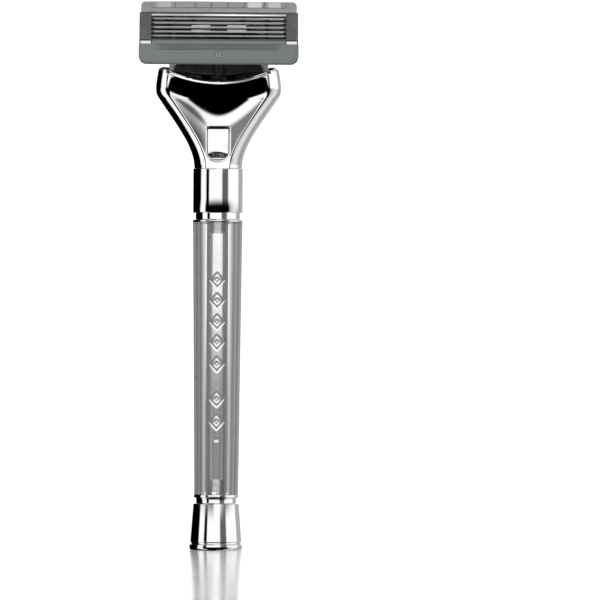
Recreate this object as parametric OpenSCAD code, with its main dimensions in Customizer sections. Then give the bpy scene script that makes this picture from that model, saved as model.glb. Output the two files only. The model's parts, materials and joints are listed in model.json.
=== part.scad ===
// Cartridge razor: clear grip between metal ends, forked head, tipping five-blade cartridge.
// Millimetres, +Z up the handle from the middle of its foot, blades facing -Y.

/* [Handle] */
// Radius of the foot's rim
foot_r = 7.0; // [6.5:0.1:7.5]
// Height of the rim at the bottom of the foot
foot_rim_h = 1.5; // [1.2:0.1:1.8]
// Height where the clear grip starts
grip_z0 = 14.6; // [14.2:0.1:15]
// Height where the clear grip ends
grip_z1 = 86.4; // [82:0.2:86.6]
// Radius of the grip at its lower end
grip_r0 = 5.8; // [5.6:0.1:6]
// Radius of the grip at its upper end
grip_r1 = 6.55; // [6.3:0.05:6.6]
// Radius of the bore down the middle of the grip
grip_bore_r = 2.05; // [1.95:0.05:2.3]
// Radius of the ferrule at the neck
neck_r = 6.56; // [6.4:0.02:6.7]
// Height of the seam between the ferrule and the head
seam_z = 100.5; // [100:0.1:101]

/* [Head] */
// Half width of the head at its widest
head_half_w = 16.5; // [16:0.1:17]
// Height of the tips of the two horns
horn_z = 127.2; // [126.8:0.1:127.3]
// How far the dock leans forward from the handle
dock_tilt = 20; // [18:1:21]

/* [Cartridge] */
// Width across the guard
guard_w = 42.1; // [41:0.1:43]
// Height of the cartridge along its face
face_h = 18.4; // [18.2:0.1:18.8]
// How far the face leans back at rest
face_tilt = 22; // [20:1:24]
// Number of blades
blade_count = 5; // [5:1:5]
// Distance from one blade edge to the next
blade_pitch = 1.25; // [1.2:0.01:1.26]
// Height along the face of the lowest blade edge
blade_first_h = 7.55; // [7.5:0.01:7.6]

/* [Motion] */
// How far the release button slides
button_travel = 2.0; // [1.5:0.1:2]

/* [Hidden] */
$fn = 96;
slip = 0.05;

// Studs and spigots along the handle
stud_r = 2.0;
lower_stud_z = [6, 18.6];
upper_stud_z = [83.4, 96];
spigot_r = 3.2;
spigot_h = 4.5;
bead_z = 88.8;

// Raised marks down the front of the grip
mark_w = 3.4;
mark_h = 3.7;
mark_raise = 0.16;
mark_heights = [33.7, 39.7, 48.9, 54.6, 60.0, 65.6, 71.0];
dot_height = 29.1;

// Pivot of the cartridge, also as depth behind its face and height above its lower edge
pivot = [0, -3.4, 130.8];
pivot_depth = 4.4;
pivot_h = 4.6;
pivot_r = 0.8;
bend = face_tilt + dock_tilt;

// Plunger: its round tip touches the back of the cartridge above the pivot
plunger_r = 1.2;
contact_h = 2.6;
contact_gap = 0.08;
plunger_y = plunger_r * cos(bend) + contact_h * sin(bend);
plunger_tip_z = contact_h * cos(bend) - plunger_r * sin(bend) - contact_gap;
plunger_foot_z = plunger_tip_z - 8.8;
flange_r = 1.6;
flange_h = 0.8;

// Dock, in the pivot's frame: pocket of the head, nose of the connector, socket of the bridge
pocket_low = -13.2;
pocket_front = plunger_y - 5.2;
pocket_back = plunger_y + 2.0;
shelf_low = -6.2;
shelf_step = 0.9;
arc_r = 47;
nose_x = 8.5;
nose_half_y = 1.9;
nose_top = -1.5;
socket_gap = 0.1;
yoke_x = 11;
yoke_flare = 0.6;
yoke_half_y = 3.4;
yoke_low = -5.8;
yoke_top = -0.6;
arm_r = 1.6;
arm_x = [9.0, 10.6];
ear_x = [7.2, 8.8];

// Prongs of the ejector, either side of the plunger, in the dock's frame
prong_x = [2.2, 4.4];
prong_y = -0.25;
prong_top = -7.7;
prong_t = 1.0;

// Bar of the ejector in the button's frame, and the seats of its return spring
bar_y = [1.6, 2.8];
leg_x = 1.0;
spring_seat = 9.6;
spring_end = 13.6;

// Cartridge: side plates, window and blades
side_half_w = guard_w / 2 - 0.15;
cap_half_w = 20.5;
cap_low = 14.5;
window_half_w = 17.8;
window_h = [6.9, 14.2];
guard_t = 0.9;
guard_top = 6.5;
side_front = 0.2;
blade_half_w = 17.1;
blade_t = 0.12;
blade_len = 0.7;
blade_tilt = 33;
support_t = 0.25;
support_back = 3.4;
strip_low = [0.2, 15.95];
strip_high = [0.98, 17.75];
strip_half_w = 17.6;
strip_t = 0.6;

// Button, along the slope of the head's lower front
button_at = [0, -4.55, 107];
button_slope = 13;
button_half_w = 2.9;
button_low = -4.6;
button_high = 4.5;
button_gap = 0.1;
window_wall = 0.9;

// Point on a cubic curve with four control points
function curve(p, t) =
    pow(1 - t, 3) * p[0] + 3 * t * pow(1 - t, 2) * p[1] + 3 * t * t * (1 - t) * p[2] + pow(t, 3) * p[3];

// Arc of points in a plane from angle a0 to a1
function arc(c, r, a0, a1, n) =
    [for (i = [0 : n]) c + r * [cos(a0 + (a1 - a0) * i / n), sin(a0 + (a1 - a0) * i / n)]];

// Value between listed [position, value] stops, with soft ends to each stretch
function between(stops, z, i = 0) =
    z <= stops[0][0] ? stops[0][1]
    : i >= len(stops) - 1 ? stops[len(stops) - 1][1]
    : z > stops[i + 1][0] ? between(stops, z, i + 1)
    : stops[i][1] + (stops[i + 1][1] - stops[i][1])
        * (1 - cos(180 * (z - stops[i][0]) / (stops[i + 1][0] - stops[i][0]))) / 2;

// Outline of the head seen from the front, as [half width, height]
head_flare = [[6.3, seam_z], [6.3, 106.5], [11.5, 112.5], [15.6, 118.8]];
head_shoulder = [[15.6, 118.8], [16.8, 120.2], [head_half_w + 0.25, 121.6], [16.0, horn_z - 1.3]];
head_tip = [[16.0, horn_z - 1.3], [15.9, horn_z - 0.4], [15.5, horn_z], [14.6, horn_z]];
head_path = concat(
    [for (i = [0 : 11]) curve(head_flare, i / 12)],
    [for (i = [0 : 5]) curve(head_shoulder, i / 6)],
    [for (i = [0 : 4]) curve(head_tip, i / 4)]);

// Front of the rails, back of the head and squareness of its sections, against height
rail_front = [[seam_z, -6.3], [108, -6.3], [118, -7.0], [horn_z, -6.9]];
head_back = [[seam_z, 6.3], [108, 6.0], [120, 7.2], [horn_z, 6.7]];
head_square = [[seam_z, 2], [112, 2.4], [horn_z, 3.2]];
rail_w = 3.3;
section_n = 20;

// Floor of the scoop: deepest at one height, rising in a curve below and a gentler one above
scoop_z = 113;
scoop_y = -3.45;
function scoop_floor(z) = scoop_y - (z < scoop_z ? 0.0215 : 0.0165) * pow(z - scoop_z, 2);

// Front of the head at a share t of the half width
function bulge(z, t) =
    let (n = between(head_square, z)) pow(max(0, 1 - pow(abs(t), n)), 1 / n);
function rail_y(z, t) = between(rail_front, z) * bulge(z, t);
function front_y(w, z, t) =
    let (
        edge = max(0.05, 1 - rail_w / w),
        edge_y = rail_y(z, edge),
        floor_y = max(scoop_floor(z), rail_y(z, 0))
    )
    abs(t) >= edge ? rail_y(z, t) : edge_y + (max(edge_y, floor_y) - edge_y) * (1 - pow(t / edge, 2));
function back_y(z, t) = between(head_back, z) * bulge(z, t);
function head_section(w, z) = concat(
    [for (i = [0 : section_n - 1]) let (t = cos(180 * i / section_n)) [w * t, back_y(z, t), z]],
    [for (i = [0 : section_n - 1]) let (t = -cos(180 * i / section_n)) [w * t, front_y(w, z, t), z]]);

// Frames of reference
module in_dock() {
    translate(pivot) rotate([dock_tilt, 0, 0]) children();
}
module in_pivot() {
    translate(pivot) rotate([-face_tilt, 0, 0]) children();
}
module in_cartridge() {
    in_pivot() translate([0, -pivot_depth, -pivot_h]) children();
}
module in_button() {
    translate(button_at) rotate([-button_slope, 0, 0]) children();
}

// Outline in [depth, height] drawn out across the razor
module across(half_w) {
    rotate([90, 0, 90]) linear_extrude(2 * half_w, center = true) children();
}

// Outline in [x, height] drawn out from depth y0 to y1
module through(y0, y1) {
    translate([0, y1, 0]) rotate([90, 0, 0]) linear_extrude(y1 - y0) children();
}

// Copy on both sides of the middle
module both_sides() {
    children();
    mirror([1, 0, 0]) children();
}

// Round rod across the razor between two distances from the middle
module cross_rod(r, x) {
    translate([x[0], 0, 0]) rotate([0, 90, 0]) cylinder(h = x[1] - x[0], r = r, $fn = 48);
}

// Block between two corners
module block(low, high) {
    translate(low) cube(high - low);
}

// Coil of round wire, as stacked turns
module coil(r, wire_r, length, turns) {
    for (i = [0 : turns - 1])
        translate([0, 0, wire_r + i * (length - 2 * wire_r) / (turns - 1)])
            rotate_extrude($fn = 36) translate([r, 0]) circle(wire_r, $fn = 16);
}

// Rounded rectangle from its lower edge, with different corners below and above
module plate_outline(half_w, h0, h1, r0, r1) {
    polygon(concat(
        arc([half_w - r1, h1 - r1], r1, 0, 90, 8),
        arc([-half_w + r1, h1 - r1], r1, 90, 180, 8),
        arc([-half_w + r0, h0 + r0], r0, 180, 270, 8),
        arc([half_w - r0, h0 + r0], r0, 270, 360, 8)));
}

// ---- Handle ----

// Weighted foot, tapped for the stud that holds the grip
module foot_weight() {
    rim_round = 0.6;
    cone_r0 = foot_r - 0.23;
    cone_r1 = foot_r - 1.0;
    cone_top = 12.3;
    waist_r = foot_r - 1.7;
    flange_low = grip_z0 - 0.8;
    color("silver") difference() {
        rotate_extrude() polygon(concat(
            [[0, 0]],
            arc([foot_r - rim_round, rim_round], rim_round, 270, 360, 6),
            [
                [foot_r, foot_rim_h - 0.15], [foot_r - 0.15, foot_rim_h], [foot_r - 0.5, foot_rim_h],
                [foot_r - 0.5, foot_rim_h + 0.5], [cone_r0, foot_rim_h + 0.6],
                [cone_r1, cone_top - 0.3], [cone_r1 - 0.3, cone_top],
                [waist_r, cone_top], [waist_r, flange_low], [grip_r0 - 0.1, flange_low],
                [grip_r0 + 0.07, flange_low + 0.2], [grip_r0 + 0.07, grip_z0 - 0.1],
                [grip_r0 - 0.05, grip_z0], [0, grip_z0]
            ]));
        translate([0, 0, lower_stud_z[0] - 0.5]) cylinder(h = grip_z0, r = stud_r);
    }
}

// Stud standing in the foot and the grip
module lower_stud() {
    color("gainsboro") {
        translate([0, 0, lower_stud_z[0]]) cylinder(h = lower_stud_z[1] - lower_stud_z[0], r = stud_r);
    }
}

// Clear grip with its bore and raised lozenges down the front
module grip() {
    mark_reach = 2;
    color("lightgrey", 0.4) difference() {
        union() {
            translate([0, 0, grip_z0]) cylinder(h = grip_z1 - grip_z0, r1 = grip_r0, r2 = grip_r1);
            intersection() {
                translate([0, 0, grip_z0])
                    cylinder(h = grip_z1 - grip_z0, r1 = grip_r0 + mark_raise, r2 = grip_r1 + mark_raise);
                union() {
                    for (z = mark_heights) translate([0, 0, z]) through(-grip_r1 - 1, -grip_r1 + mark_reach)
                        polygon([[mark_w / 2, 0], [0, mark_h / 2], [-mark_w / 2, 0], [0, -mark_h / 2]]);
                    translate([0, 0, dot_height]) through(-grip_r1 - 1, -grip_r1 + mark_reach)
                        circle(0.7, $fn = 32);
                }
            }
        }
        translate([0, 0, grip_z0 - 1]) cylinder(h = grip_z1 - grip_z0 + 2, r = grip_bore_r);
    }
}

// Stud between the grip and the ferrule
module upper_stud() {
    color("gainsboro") {
        translate([0, 0, upper_stud_z[0]]) cylinder(h = upper_stud_z[1] - upper_stud_z[0], r = stud_r);
    }
}

// Beaded ring and groove above the grip
module collar_ring() {
    groove_r = neck_r - 0.7;
    bead_top = grip_z1 + 0.65;
    color("silver") rotate_extrude() polygon([
        [stud_r + slip, grip_z1], [neck_r - 0.1, grip_z1], [neck_r + 0.04, grip_z1 + 0.15],
        [neck_r + 0.04, bead_top - 0.15], [neck_r - 0.1, bead_top], [groove_r, bead_top],
        [groove_r, bead_z], [stud_r + slip, bead_z]
    ]);
}

// Plain ferrule, bored for the stud below and the head's spigot above
module neck_collar() {
    edge = 0.2;
    color("silver") rotate_extrude() polygon([
        [stud_r + slip, bead_z], [neck_r - edge, bead_z], [neck_r, bead_z + edge],
        [neck_r, seam_z - edge], [neck_r - edge, seam_z], [spigot_r + slip, seam_z],
        [spigot_r + slip, seam_z - spigot_h], [stud_r + slip, seam_z - spigot_h]
    ]);
}

// ---- Head ----

// Height of the shelf arcs at a distance from the middle
function shelf(low, x) = low + x * x / (2 * arc_r);

// Opening of the head's pocket seen along its depth, shrunk by a gap
module pocket_outline(gap, top) {
    polygon([
        [-9 + gap, pocket_low + gap], [9 - gap, pocket_low + gap], [11.6 - gap, -9.5],
        [13.1 - gap, -6.5], [13.1 - gap, top], [-13.1 + gap, top], [-13.1 + gap, -6.5], [-11.6 + gap, -9.5]
    ]);
}

// Connector's outline, with its upper edge on the shelf arc
module shelf_outline(gap, low) {
    half = 13.1 - gap;
    intersection() {
        pocket_outline(gap, 2);
        polygon(concat(
            [[half + 1, pocket_low], [half + 1, shelf(low, half + 1)]],
            [for (i = [12 : -1 : -12]) [half * i / 12, shelf(low, half * i / 12)]],
            [[-half - 1, shelf(low, half + 1)], [-half - 1, pocket_low]]));
    }
}

// Forked head: flared shell with a scooped front, open pocket, button window and spigot
module head_shell() {
    n = 2 * section_n;
    rings = len(head_path);
    points = [for (p = head_path) each head_section(p[0], p[1])];
    sides = [for (k = [0 : rings - 2], i = [0 : n - 1]) let (a = k * n + i, b = k * n + (i + 1) % n)
        each [[a, a + n, b], [b, a + n, b + n]]];
    caps = [
        [for (i = [0 : n - 1]) i],
        [for (i = [0 : n - 1]) (rings - 1) * n + n - 1 - i]
    ];
    rim_r = 33;
    rim_low = 123.4;
    back_rim_r = 99;
    back_rim_low = 126.2;
    border = 0.45;
    border_raise = 0.3;
    color("silver") difference() {
        union() {
            polyhedron(points, concat(sides, caps), convexity = 6);
            translate([0, 0, seam_z - spigot_h]) cylinder(h = spigot_h + 1, r = spigot_r);
            in_button() through(-border_raise, 2)
                plate_outline(button_half_w + border, button_low - border, button_high + border, 3.2, 0.4);
        }
        through(-12, -1) translate([0, rim_low + rim_r]) circle(rim_r, $fn = 180);
        through(-2, 12) translate([0, back_rim_low + back_rim_r]) circle(back_rim_r, $fn = 360);
        in_dock() through(pocket_front, pocket_back) pocket_outline(0, 6);
        in_button() {
            through(-6, 1) plate_outline(button_half_w + button_gap, button_low - button_gap,
                button_high + 0.2, 2.9, 0.2);
            block([-3.1, window_wall, button_low - 0.3], [3.1, 3.4, button_high + button_travel + 0.4]);
            block([-2.6, bar_y[0] - 0.1, 0], [2.6, 3.4, spring_end]);
            both_sides() block([leg_x - 0.2, bar_y[0] - 0.1, 11], [prong_x[1] + 0.2, 4, 16]);
        }
    }
}

// Black insert in the pocket, with the nose that the cartridge's bridge slides over
module connector() {
    gap = 0.05;
    front = pocket_front + gap;
    back = pocket_back - gap;
    step_y = plunger_y - yoke_half_y - 0.1;
    bore_low = pocket_low - 1;
    flange_top = plunger_foot_z + gap;
    color("dimgray") in_dock() difference() {
        union() {
            through(step_y, back) shelf_outline(gap, shelf_low);
            through(front, step_y + 1) shelf_outline(gap, shelf_low - shelf_step);
            block([-nose_x, plunger_y - nose_half_y, pocket_low + 1],
                [nose_x, plunger_y + nose_half_y, nose_top]);
        }
        translate([0, plunger_y, bore_low]) cylinder(h = 20, r = plunger_r + slip);
        translate([0, plunger_y, bore_low]) cylinder(h = flange_top - bore_low, r = flange_r + slip);
        both_sides() block([prong_x[0] - 0.2, pocket_front - 1, pocket_low - 1],
            [prong_x[1] + 0.2, prong_y + 2.1, yoke_low]);
        block([-prong_x[1] - 0.2, pocket_front - 1, pocket_low - 1], [prong_x[1] + 0.2, prong_y + 2.1, -10]);
    }
}

// Spring under the plunger
module plunger_spring() {
    color("lightgrey") in_dock() translate([0, plunger_y, pocket_low + 0.02])
        coil(1.25, 0.2, plunger_foot_z - flange_h - pocket_low - 0.04, 6);
}

// Spring that returns the button, between its slider and the end of the slider's channel
module button_spring() {
    color("lightgrey") in_button() translate([0, 2.4, spring_seat + 0.01])
        coil(0.65, 0.15, spring_end - spring_seat - 0.02, 6);
}

// ---- Release button ----

// Thumb button with a hollow face and a lip at its lower end
module release_button() {
    profile = [
        [1.6, button_low], [0.05, button_low], [-0.3, button_low + 0.35], [-0.3, button_low + 0.8],
        [0.2, button_low + 1.6], [0.62, button_low + 2.8], [0.85, button_low + 4.4],
        [1.0, button_low + 6.2], [1.0, button_high], [1.6, button_high]
    ];
    color("silver") in_button() intersection() {
        across(button_half_w) polygon(profile);
        through(-2, 3) plate_outline(button_half_w, button_low, button_high, 2.8, 0.2);
    }
}

// Black slider behind the button, forked round the plunger and reaching up to the bridge
module ejector_slider() {
    bar_half_w = 2.4;
    knee = 12.9;
    color("dimgray") {
        in_button() {
            block([-bar_half_w, bar_y[0], button_low + 1], [bar_half_w, bar_y[1], spring_seat]);
            both_sides() block([leg_x, bar_y[0], spring_seat - 1], [bar_half_w, bar_y[1], knee]);
            both_sides() block([leg_x, bar_y[0], knee - 1.2], [prong_x[1], bar_y[1], knee]);
        }
        in_dock() both_sides() block([prong_x[0], prong_y - prong_t / 2, -13],
            [prong_x[1], prong_y + prong_t / 2, prong_top]);
    }
}

// ---- Plunger and bridge ----

// Sprung pin with a round tip and a flange
module plunger() {
    color("dimgray") in_dock() translate([0, plunger_y, 0]) {
        translate([0, 0, plunger_tip_z]) sphere(plunger_r, $fn = 48);
        translate([0, 0, plunger_foot_z]) cylinder(h = plunger_tip_z - plunger_foot_z, r = plunger_r);
        translate([0, 0, plunger_foot_z - flange_h]) cylinder(h = flange_h, r = flange_r);
    }
}

// Black bridge: socket that slides over the connector's nose, and arms with the pivot stubs
module bridge_yoke() {
    half = yoke_x + yoke_flare;
    roof = nose_top + socket_gap;
    socket_half_y = nose_half_y + socket_gap;
    front = plunger_y - yoke_half_y;
    rib_r = 1.2;
    color("dimgray") in_dock() difference() {
        union() {
            through(front, plunger_y + yoke_half_y) polygon(concat(
                [[yoke_x, -2.5], [yoke_x, yoke_top], [-yoke_x, yoke_top], [-yoke_x, -2.5]],
                [for (i = [-12 : 12]) [half * i / 12, shelf(yoke_low, half * i / 12)]]));
            translate([0, front, yoke_low]) cylinder(h = 3.6, r = rib_r, $fn = 48);
            both_sides() {
                cross_rod(arm_r, arm_x);
                cross_rod(pivot_r, [ear_x[0], arm_x[0] + 0.5]);
            }
        }
        block([-nose_x - socket_gap, plunger_y - socket_half_y, yoke_low - 2],
            [nose_x + socket_gap, plunger_y + socket_half_y, roof]);
        block([-4, plunger_y - socket_half_y, roof - 1], [4, plunger_y + socket_half_y, 3]);
        both_sides() difference() {
            cross_rod(arm_r + 0.25, [ear_x[0] - 0.2, arm_x[0]]);
            cross_rod(pivot_r, [ear_x[0] - 1, arm_x[0] + 1]);
        }
    }
}

// ---- Cartridge ----

// Height of one blade's edge along the face
function blade_h(i) = blade_first_h + i * blade_pitch;

// Metal strap through each end plate: a tab in front, a leg and a strip behind
module clip(side) {
    strap_t = 0.3;
    tab_x = [17.8, 20.6];
    leg_x = [18.6, 19.6];
    strap_h = [5.45, 6.35];
    back_top = 12.5;
    color("silver") in_cartridge() mirror([side < 0 ? 1 : 0, 0, 0]) {
        block([tab_x[0], side_front, strap_h[0]], [tab_x[1], side_front + strap_t, strap_h[1]]);
        block([leg_x[0], side_front, strap_h[0]], [leg_x[1], pivot_depth + strap_t, strap_h[1]]);
        block([leg_x[0], pivot_depth, strap_h[0]], [leg_x[1], pivot_depth + strap_t, back_top]);
    }
}

// Grey plastic frame: side plates, window for the blades, spring pad and pivot ears
module cartridge_frame() {
    side = [
        [guard_t, 0.4], [1.9, 0.3], [3.0, 2.2], [pivot_depth, 4.2], [pivot_depth, cap_low],
        [side_front, cap_low], [side_front, guard_top + 0.1], [guard_t, guard_top + 0.1]
    ];
    rib_w = 1.0;
    color("slategray") {
        difference() {
            union() {
                in_cartridge() intersection() {
                    across(side_half_w) polygon(side);
                    through(-1, 6) plate_outline(side_half_w, 0.2, cap_low + 2, 2.4, 0.2);
                }
                in_pivot() both_sides() cross_rod(arm_r, ear_x);
            }
            in_cartridge() {
                block([-window_half_w, -1, window_h[0]], [window_half_w, 6, window_h[1]]);
                both_sides() block([18.55, -1, 5.4], [19.65, 6, 6.4]);
            }
            in_pivot() both_sides() {
                cross_rod(arm_r + 0.3, [arm_x[0] - 0.15, arm_x[1] + 0.2]);
                cross_rod(pivot_r + slip, [ear_x[0] - 0.5, arm_x[0]]);
            }
        }
        in_cartridge() {
            block([-3, support_back, window_h[0] - 0.8], [3, pivot_depth, 8.8]);
            for (x = [-13, -6.5, 6.5, 13])
                block([x - rib_w / 2, support_back, window_h[0] - 0.5],
                    [x + rib_w / 2, pivot_depth, window_h[1] + 0.2]);
            both_sides() for (i = [0 : blade_count - 1])
                block([blade_half_w, 0.5, blade_h(i) + 0.1],
                    [window_half_w + 0.1, support_back, blade_h(i) + 0.7]);
        }
    }
}

// Grey-green guard along the lower edge, with fine ridges and a round moulding mark
module guard_pad() {
    ridge_low = 3.9;
    ridge_pitch = 0.42;
    ridge_depth = 0.12;
    mark_at = [0, 2.3];
    corner_w = 17.6;
    color("lightslategray") in_cartridge() difference() {
        intersection() {
            across(guard_w / 2)
                polygon([[0, 0.9], [0.5, 0], [guard_t, 0], [guard_t, guard_top], [0, guard_top]]);
            through(-1, 2) plate_outline(guard_w / 2, 0, guard_top + 1, 2.4, 0.2);
        }
        for (i = [0 : 3]) block([-16, -1, ridge_low + i * ridge_pitch],
            [16, ridge_depth, ridge_low + (i + 0.5) * ridge_pitch]);
        through(-1, 0.1) translate(mark_at) difference() {
            circle(0.65, $fn = 48);
            circle(0.45, $fn = 48);
        }
        both_sides() block([corner_w, -1, 5.35], [guard_w, 2, guard_top + 1]);
    }
}

// Cap over the top edge, gently arched, with a slanted recess for the strip
module cap() {
    arch_drop = 0.3;
    color("slategray") in_cartridge() difference() {
        intersection() {
            across(cap_half_w) polygon([
                [0, cap_low], [0, 15.0], [0.25, 15.8], [1.1, face_h - 0.6], [1.7, face_h],
                [2.7, face_h], [3.9, face_h - 1.0], [pivot_depth, 15.6], [pivot_depth, cap_low]
            ]);
            through(-1, 6) plate_outline(cap_half_w, cap_low - 1, face_h, 0.2, 1.8);
            through(-1, 6) polygon(concat(
                [[cap_half_w, cap_low - 1]],
                [for (i = [10 : -1 : -10]) [cap_half_w * i / 10, face_h - arch_drop * pow(i / 10, 2)]],
                [[-cap_half_w, cap_low - 1]]));
        }
        strip_bar(strip_half_w, 1);
    }
}

// Slanted bar that the strip fills, reaching some way proud of the cap
module strip_bar(half_w, proud) {
    slope = strip_high - strip_low;
    outward = [-slope[1], slope[0]] / norm(slope);
    across(half_w) polygon([
        strip_low + proud * outward, strip_high + proud * outward,
        strip_high - strip_t * outward, strip_low - strip_t * outward
    ]);
}

// Lubricating strip, parted by slanted grooves
module lubricating_strip() {
    divider_x = [2.2, 6.45, 11.7];
    divider_w = 0.2;
    lean = [[1, 0, 0.12, 0], [0, 1, 0, 0], [0, 0, 1, 0]];
    color("darkgray") in_cartridge() difference() {
        strip_bar(strip_half_w, 0.06);
        for (side = [-1, 1], x = divider_x)
            translate([side * x, 0, strip_low[1] - 1]) multmatrix(lean)
                block([-divider_w / 2, -1, 0], [divider_w / 2, 0.2, 4]);
    }
}

// Thin steel blade with a ground edge facing the guard
module blade(i) {
    along = [sin(blade_tilt), cos(blade_tilt)];
    behind = [cos(blade_tilt), -sin(blade_tilt)];
    edge = [0.12, 0];
    color("gainsboro") in_cartridge() translate([0, 0, blade_h(i)]) across(blade_half_w) polygon([
        edge, edge + blade_len * along, edge + blade_len * along + blade_t * behind,
        edge + 0.25 * along + blade_t * behind
    ]);
}

// Bent steel strip that carries a blade and stands in the window
module blade_support(i) {
    along = [sin(blade_tilt), cos(blade_tilt)];
    behind = [cos(blade_tilt), -sin(blade_tilt)];
    low = [0.12, 0] + 0.3 * along + blade_t * behind;
    high = [0.12, 0] + blade_len * along + blade_t * behind;
    under = low + support_t * behind;
    knee_h = high[1] - support_t;
    tab_x = [2.2, 7.2];
    color("gray") in_cartridge() translate([0, 0, blade_h(i)]) {
        across(blade_half_w) polygon([
            low, high, [support_back, high[1]], [support_back, knee_h],
            under + (knee_h - under[1]) / along[1] * along, under
        ]);
        if (i == 1 || i == 2) both_sides()
            block([tab_x[0], 0.9, high[1] - 0.05], [tab_x[1], 1.1, blade_pitch - 0.1]);
    }
}

module blade_1() { blade(0); }
module blade_2() { blade(1); }
module blade_3() { blade(2); }
module blade_4() { blade(3); }
module blade_5() { blade(4); }
module blade_support_1() { blade_support(0); }
module blade_support_2() { blade_support(1); }
module blade_support_3() { blade_support(2); }
module blade_support_4() { blade_support(3); }
module blade_support_5() { blade_support(4); }
module clip_left() { clip(-1); }
module clip_right() { clip(1); }

foot_weight();
lower_stud();
grip();
upper_stud();
collar_ring();
neck_collar();
head_shell();
connector();
plunger_spring();
button_spring();
release_button();
ejector_slider();
plunger();
bridge_yoke();
cartridge_frame();
guard_pad();
cap();
lubricating_strip();
clip_left();
clip_right();
blade_1();
blade_2();
blade_3();
blade_4();
blade_5();
blade_support_1();
blade_support_2();
blade_support_3();
blade_support_4();
blade_support_5();
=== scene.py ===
# %% [markdown]
# # Cartridge razor
# A heavy polished handle with a clear acrylic grip carries a tipping cartridge of five blades. The packed
# model is the fixed frame: every piece below takes its place from it, in metres.

# %% Load the frame
import json
import math

import bmesh
import bpy
import numpy as np
from mathutils import Matrix, Vector


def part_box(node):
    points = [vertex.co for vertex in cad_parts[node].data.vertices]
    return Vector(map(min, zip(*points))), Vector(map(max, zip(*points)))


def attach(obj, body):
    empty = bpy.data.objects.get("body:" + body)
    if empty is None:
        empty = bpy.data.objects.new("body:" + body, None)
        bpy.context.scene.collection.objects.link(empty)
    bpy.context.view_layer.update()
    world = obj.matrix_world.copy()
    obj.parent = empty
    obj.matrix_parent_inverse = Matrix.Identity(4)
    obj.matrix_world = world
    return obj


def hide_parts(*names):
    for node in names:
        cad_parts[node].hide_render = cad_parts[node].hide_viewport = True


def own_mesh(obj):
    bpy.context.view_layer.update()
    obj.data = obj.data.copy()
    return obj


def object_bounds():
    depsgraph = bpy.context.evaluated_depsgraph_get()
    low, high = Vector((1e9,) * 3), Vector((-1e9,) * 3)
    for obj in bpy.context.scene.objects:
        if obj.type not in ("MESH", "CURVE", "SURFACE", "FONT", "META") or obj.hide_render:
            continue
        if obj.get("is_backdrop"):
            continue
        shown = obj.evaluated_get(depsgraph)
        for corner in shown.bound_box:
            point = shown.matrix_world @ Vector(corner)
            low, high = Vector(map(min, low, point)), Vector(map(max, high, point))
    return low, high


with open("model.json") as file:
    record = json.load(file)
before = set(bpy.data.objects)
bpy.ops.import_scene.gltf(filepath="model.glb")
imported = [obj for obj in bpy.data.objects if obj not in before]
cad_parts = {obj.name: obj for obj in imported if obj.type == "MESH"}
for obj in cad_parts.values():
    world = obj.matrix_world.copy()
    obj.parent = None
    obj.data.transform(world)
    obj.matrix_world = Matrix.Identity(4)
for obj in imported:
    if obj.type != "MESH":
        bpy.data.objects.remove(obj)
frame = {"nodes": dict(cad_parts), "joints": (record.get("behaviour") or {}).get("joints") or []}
cad_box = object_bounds()
joints = {j["name"]: j for j in frame["joints"]}
print("frame", [[round(v * 1000, 2) for v in corner] for corner in cad_box], sorted(joints))

# %% [markdown]
# Shapes are drawn in millimetres in the frame that suits them: upright in the handle, along the dock that
# the cartridge plugs into, along the button, or along the face of the cartridge. Each frame comes from the
# direction of the joint that moves there, so a piece stays true to the way it slides or tips.

# %% Frames of reference
MM = 0.001
FACE_TILT = math.radians(22)
PIVOT_DEPTH = 4.4
PIVOT_HEIGHT = 4.6
BUTTON_AT = Vector((0, -4.55, 107))


def along(direction, origin):
    """Matrix whose local Z runs in a direction of the YZ plane, from an origin in millimetres."""
    z = Vector(direction).normalized()
    y = Vector((0, z.z, -z.y))
    turn = Matrix((Vector((1, 0, 0)), y, z)).transposed().to_4x4()
    return Matrix.Translation(origin) @ turn


pivot = Vector(joints["cartridge_pivot"]["pos_m"]) / MM
UPRIGHT = Matrix.Identity(4)
IN_DOCK = along(joints["cartridge_release"]["axis"], pivot)
IN_BUTTON = along(joints["button_slide"]["axis"], BUTTON_AT)
IN_FACE = (
    along((0, math.sin(FACE_TILT), math.cos(FACE_TILT)), pivot)
    @ Matrix.Translation((0, -PIVOT_DEPTH, -PIVOT_HEIGHT))
)
print("pivot", tuple(round(v, 2) for v in pivot))

# %% [markdown]
# Every piece is a closed mesh with its normals outward, at the origin with no transform of its own, smooth
# over gentle curves and sharp across real edges.


# %% Meshes from points
def piece(name, points, faces, place=UPRIGHT, sharp=35.0):
    """Mesh object from points in millimetres of a local frame."""
    mesh = bpy.data.meshes.new(name)
    mesh.from_pydata([(place @ Vector(p)) * MM for p in points], [], faces)
    return from_mesh(name, mesh, sharp)


def from_mesh(name, mesh, sharp=35.0):
    """Object from a mesh in metres, cleaned, with normals outward and edges sharp above an angle."""
    work = bmesh.new()
    work.from_mesh(mesh)
    bmesh.ops.remove_doubles(work, verts=work.verts, dist=1e-7)
    bmesh.ops.recalc_face_normals(work, faces=work.faces)
    work.to_mesh(mesh)
    work.free()
    return shown(name, mesh, sharp)


def shown(name, mesh, sharp):
    """Object from a finished mesh, smooth but for its sharp edges."""
    mesh.shade_smooth()
    mesh.set_sharp_from_angle(angle=math.radians(sharp))
    mesh.name = name
    obj = bpy.data.objects.new(name, mesh)
    bpy.context.collection.objects.link(obj)
    return obj


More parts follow.
